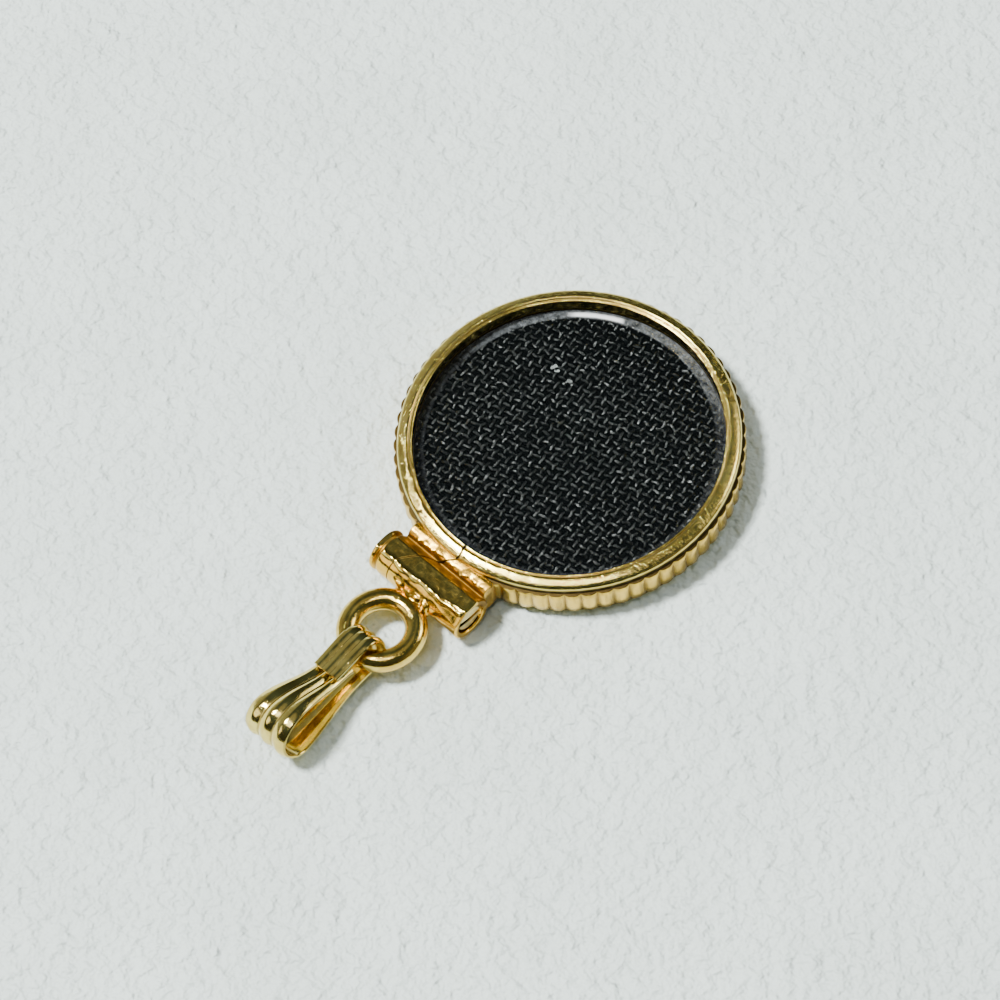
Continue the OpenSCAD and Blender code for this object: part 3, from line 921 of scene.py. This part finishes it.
def lint():
    """Specks and curls of pale fluff that lie on the cloth."""
    # (x, y, size)
    specks = [
        (-4.25, 3.18, 0.16), (-3.95, 3.12, 0.10), (-3.0, 3.11, 0.17), (-3.03, 2.73, 0.08),
        (-2.6, 3.0, 0.08), (-0.54, 1.75, 0.07), (1.11, 2.23, 0.06), (-2.5, -6.8, 0.05),
        (3.6, 0.4, 0.05), (-5.2, -1.6, 0.05), (2.4, -4.6, 0.05), (5.6, 3.8, 0.05)]
    curl_size, fibre_r = 0.09, 0.03
    shapes = []
    for x, y, size in specks:
        heading = rng.uniform(0, 2 * math.pi)
        home = np.array([x, y])
        path, spot = [], home
        # A fibre wanders, and is drawn back to where it started
        for _ in range(20 if size > curl_size else 6):
            path.append((*spot, CLOTH_TOP - 0.015 + rng.uniform(-0.01, 0.008)))
            heading += rng.uniform(-1.3, 1.5)
            spot = spot + 0.42 * size * np.array([math.cos(heading), math.sin(heading)])
            spot += 0.15 * (home - spot)
        shapes.append(tube(path, fibre_r, 6))
    points, faces = joined(shapes)
    return new_mesh("lint", points, faces, pale_lint)


# Camera, lights and floor

def direction(azimuth, elevation):
    """Azimuth 0 is towards -Y and 90 towards +X, in degrees."""
    a, e = math.radians(azimuth), math.radians(elevation)
    return Vector((math.sin(a) * math.cos(e), -math.cos(a) * math.cos(e), math.sin(e)))


def placed_object(name, data):
    """An object in the scene that holds a camera's or a light's data."""
    holder = bpy.data.objects.new(name, data)
    bpy.context.scene.collection.objects.link(holder)
    return holder


def camera():
    """The photograph's view; the place and the focal length come from measured points of the pendant."""
    azimuth, elevation, roll = 52.2, 60.85, math.radians(-9.59)
    place = (75.296, -63.993, 173.813)
    focal_px, width_px = 3500, 1000
    data = bpy.data.cameras.new("camera")
    data.sensor_width = 36
    data.lens = data.sensor_width * focal_px / width_px
    data.clip_start = 0.01
    holder = placed_object("camera", data)
    holder.location = Vector(place) * MM
    back = direction(azimuth, elevation)
    right = Vector((math.cos(math.radians(azimuth)), math.sin(math.radians(azimuth)), 0))
    up = back.cross(right)
    turned_right = right * math.cos(roll) + up * math.sin(roll)
    turned_up = up * math.cos(roll) - right * math.sin(roll)
    holder.rotation_euler = Matrix((turned_right, turned_up, back)).transposed().to_euler()
    bpy.context.scene.camera = holder


# How far the lights are from the pendant, in metres, and the point that they face, in millimetres
LIGHT_FAR = 1.1
LIT_POINT = (0, -4, MID_Z)


def softbox(name, azimuth, elevation, size, radiance, colour):
    """A flat light that faces the pendant; size is (width, height) in metres."""
    data = bpy.data.lights.new(name, "AREA")
    data.shape = "RECTANGLE"
    data.size, data.size_y = size
    data.energy = radiance * math.pi * size[0] * size[1]
    data.color = colour
    holder = placed_object(name, data)
    out = direction(azimuth, elevation)
    holder.location = Vector(LIT_POINT) * MM + out * LIGHT_FAR
    holder.rotation_euler = out.to_track_quat("Z", "Y").to_euler()


def world():
    """A dark room, cooler overhead, with three paler patches: two walls and one near the zenith."""
    scene_world = bpy.data.worlds.new("room")
    scene_world.use_nodes = True
    nodes, links = scene_world.node_tree.nodes, scene_world.node_tree.links
    coords = nodes.new("ShaderNodeTexCoord")

    def facing(way):
        """1 towards the way, 0 square to it and below 0 beyond."""
        dot = nodes.new("ShaderNodeVectorMath")
        dot.operation = "DOT_PRODUCT"
        dot.inputs[1].default_value = way
        links.new(coords.outputs["Generated"], dot.inputs[0])
        return dot.outputs["Value"]

    tint = ramp_node(nodes, links, facing((0, 0, 1)), [
        (0.0, (0.035, 0.036, 0.032)), (0.45, (0.045, 0.055, 0.055)), (0.85, (0.065, 0.093, 0.105))])
    # low and high are how far a direction points at the patch where its glow starts and where it is full
    for azimuth, elevation, low, high, colour in (
            (268, 8, 0.70, 0.97, (0.34, 0.37, 0.35)), (110, 12, 0.80, 0.97, (0.20, 0.19, 0.15)),
            (195, 77, 0.960, 0.992, (0.34, 0.35, 0.32))):
        towards = facing(direction(azimuth, elevation))
        glow = ramp_node(nodes, links, towards, [(low, grey(0.0)), (high, grey(1.0))])
        tint = mix_node(nodes, links, glow, tint, colour)
    links.new(tint, nodes["Background"].inputs["Color"])
    bpy.context.scene.world = scene_world


def floor():
    """A square of floor, a hair below the pendant."""
    reach, height = 600, -0.002
    corners = ((-reach, -reach), (reach, -reach), (reach, reach), (-reach, reach))
    points = [(x, y, height) for x, y in corners]
    piece = new_mesh("floor", points, [(0, 1, 2, 3)], floor_material("pale_floor"))


camera()
world()
floor()
softbox("ceiling", 11, 77, (0.42, 0.34), 3.3, (0.98, 1.0, 0.98))
softbox("overhead", 306, 64, (0.18, 0.18), 285, (1.0, 1.0, 0.98))
softbox("left_window", 330, 30, (0.50, 0.42), 2.2, (1.0, 0.97, 0.88))
softbox("far_window", 154, 29, (0.70, 0.40), 2.1, (1.0, 1.0, 0.95))
softbox("far_lamp", 150, 30, (0.28, 0.20), 10, (1.0, 0.99, 0.93))
softbox("ceiling_lamp", 60, 76, (0.14, 0.14), 10, (1.0, 1.0, 0.98))

rim = bezel_rim()
body = soldered_body()
cutter = split_cutter()
cut(rim, cutter)
cut(body, cutter)
bpy.data.objects.remove(cutter)
soil_and_shade_rim(rim)
soil_and_shade_body(body)
screw = clamp_screw()
front = crystal("front_glass", 1)
back = crystal("back_glass", -1)
warp = yarns("cloth_warp", WARP_DIRECTION, WARP_PITCH, WEFT_DIRECTION, WEFT_PITCH, 1)
weft = yarns("cloth_weft", WEFT_DIRECTION, WEFT_PITCH, WARP_DIRECTION, WARP_PITCH, -1)
ground = cloth_ground()
fluff = lint()
ribbed = bail()

for piece, body_name, node, slot in (
        (rim, "pendant", "bezel_frame", "bezel_gold"), (body, "pendant", "bezel_frame", "bezel_gold"),
        (screw, "pendant", "clamp_screw", "screw_gold"), (front, "pendant", "front_crystal", "crystal"),
        (back, "pendant", "back_crystal", "crystal"), (warp, "pendant", "fabric_disc", "cloth"),
        (weft, "pendant", "fabric_disc", "cloth"), (ground, "pendant", "fabric_disc", "cloth"),
        (fluff, "pendant", "fabric_disc", "cloth"), (ribbed, "bail", "bail", "bail_gold")):
    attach(piece, body_name)
    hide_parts(node)
